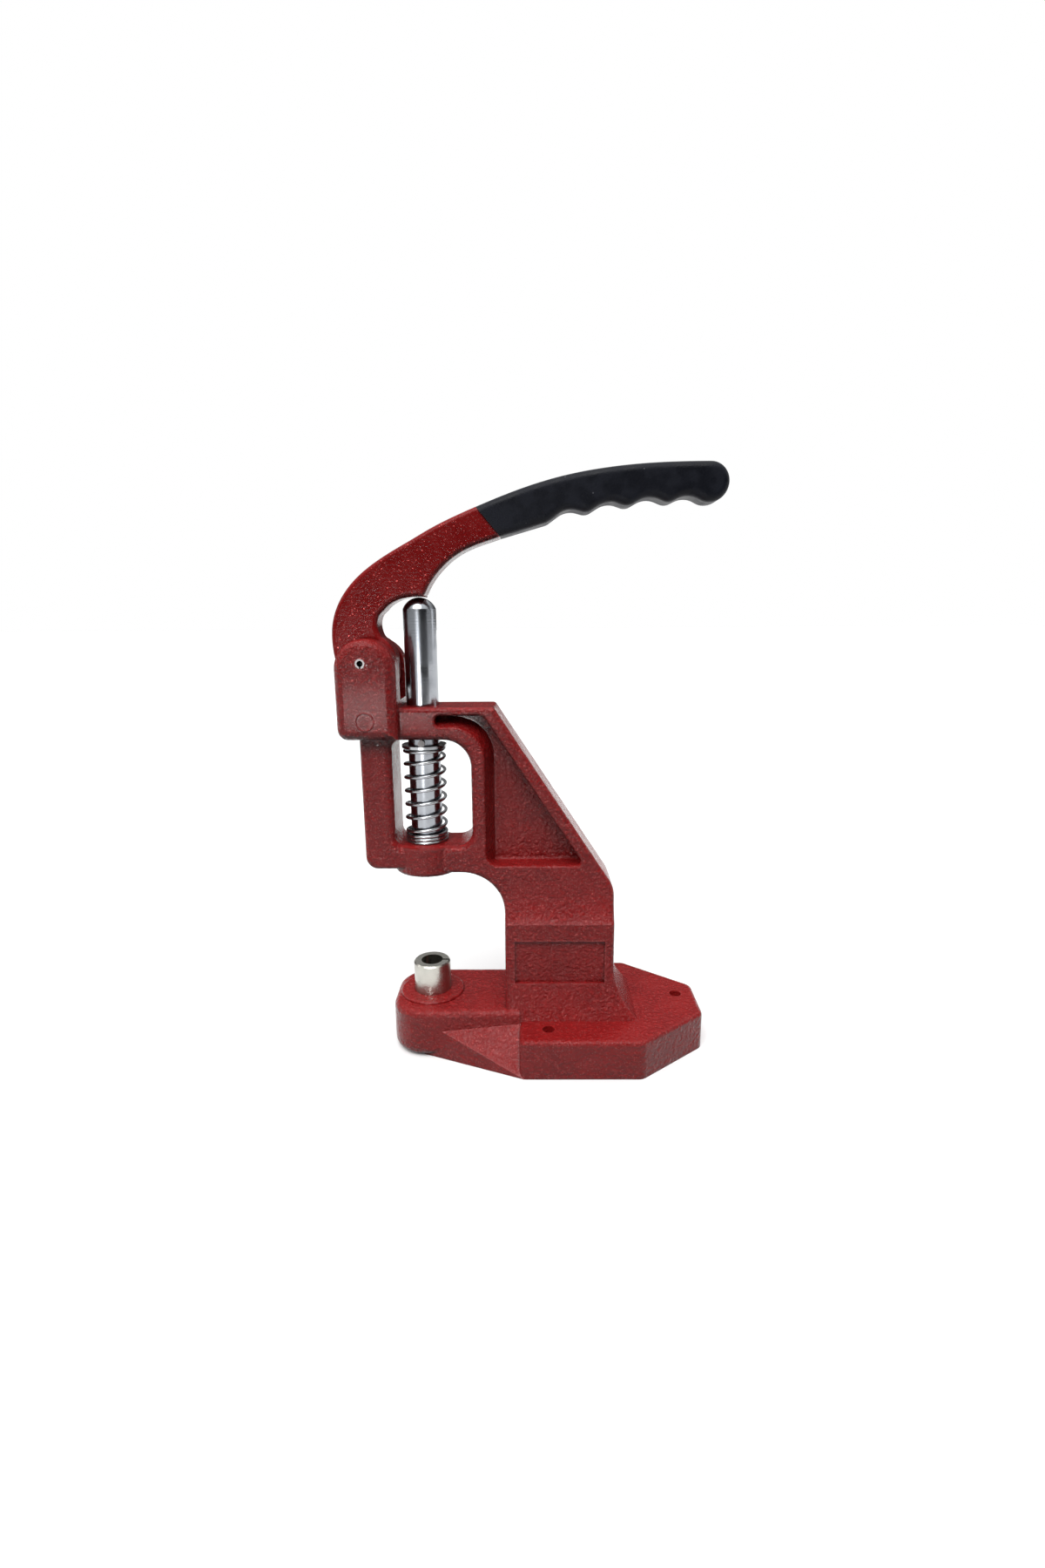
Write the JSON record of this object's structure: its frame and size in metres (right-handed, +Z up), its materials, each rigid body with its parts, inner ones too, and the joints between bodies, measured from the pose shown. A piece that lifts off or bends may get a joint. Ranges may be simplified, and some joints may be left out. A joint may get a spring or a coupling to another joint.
{
  "type": "snap setting press",
  "caption": "Hand lever press for snaps and eyelets: cast frame with bench foot, cam lever with finger grip, sprung ram and die post.",
  "frame": {"origin": "the ram's axis where it meets the bench plane, under the die post", "axes": "+Z up along the ram, +X from the die post towards the back of the base, +Y across the press"},
  "size_m": [0.1635, 0.075, 0.2562],
  "materials": {
    "red_enamel": "gloss red enamel on rough cast iron",
    "lever_enamel": "gloss red enamel on cast iron",
    "grip_black": "satin",
    "ram_steel": "bright zinc plate",
    "bright_steel": "turned",
    "pin_steel": "plain",
    "spring_steel": "bright zinc plate"
  },
  "bodies": {
    "frame": {"frame_casting": "red_enamel", "die_post": "bright_steel", "pivot_pin": "pin_steel", "return_spring": "spring_steel"},
    "lever": {"lever_arm": "lever_enamel", "handle_grip": "grip_black"},
    "plunger": {"ram": "ram_steel", "ram_cross_pin": "pin_steel", "spring_washer": "spring_steel"}
  },
  "joints": [
    {"name": "lever_pivot", "type": "hinge", "parent": "frame", "child": "lever", "pos_m": [-0.0224, 0, 0.1778], "axis": [0, 1, 0], "range_deg": [0, 50]},
    {"name": "ram_slide", "type": "slide", "parent": "frame", "child": "plunger", "axis": [0, 0, -1], "range_m": [0, 0.0196], "stiffness_N_per_m": 1500, "springref_m": -0.02, "deforming": ["return_spring"]}
  ],
  "couplings": [
    {"joint": "ram_slide", "follows": "lever_pivot", "m_per_rad": 0.0224}
  ]
}
